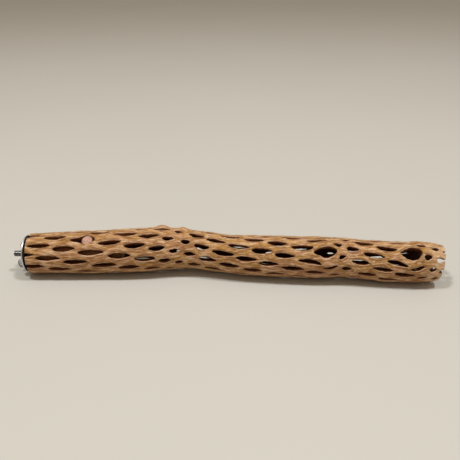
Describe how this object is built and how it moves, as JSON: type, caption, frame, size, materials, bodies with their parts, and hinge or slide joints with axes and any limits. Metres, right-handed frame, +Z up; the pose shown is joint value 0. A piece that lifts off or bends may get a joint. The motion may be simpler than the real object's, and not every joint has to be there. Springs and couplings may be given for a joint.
{
  "type": "cholla wood perch",
  "caption": "Hollow length of cholla cactus skeleton, a net of woody strands with long oval holes, with a stud, rubber pad, washer and wing nut at one end that clamp it to cage bars.",
  "frame": {"origin": "on the surface the perch lies on, below the middle of its bounding box", "axes": "+X along the stem from the hardware to the free end, the stud's axis parallel to it; +Z up; the stem's bend lies in the XY plane, its free end towards -Y"},
  "size_m": [0.4186, 0.069, 0.0445],
  "materials": {
    "cholla_wood": "bare, weathered and lightly sanded",
    "dowel_wood": "bare turned dowel",
    "peg_wood": "bare end grain",
    "black_rubber": "matt",
    "stainless_steel": "bright, lightly brushed"
  },
  "bodies": {
    "perch": {"cholla_skeleton": "cholla_wood", "core_plug": "dowel_wood", "cross_peg": "peg_wood", "rubber_pad": "black_rubber", "hanger_bolt": "stainless_steel"},
    "washer": {"washer": "stainless_steel"},
    "nut": {"wing_nut": "stainless_steel"}
  },
  "joints": [
    {"name": "washer_slide", "type": "slide", "parent": "perch", "child": "washer", "axis": [-1, 0, 0], "range_m": [0, 0.00626]},
    {"name": "nut_turn", "type": "hinge", "parent": "washer", "child": "nut", "pos_m": [-0.19645, 0.01085, 0.0202], "axis": [-1, 0, 0], "range_deg": [0, 2250]}
  ],
  "couplings": [
    {"joint": "washer_slide", "follows": "nut_turn", "m_per_rad": 0.00015915}
  ]
}
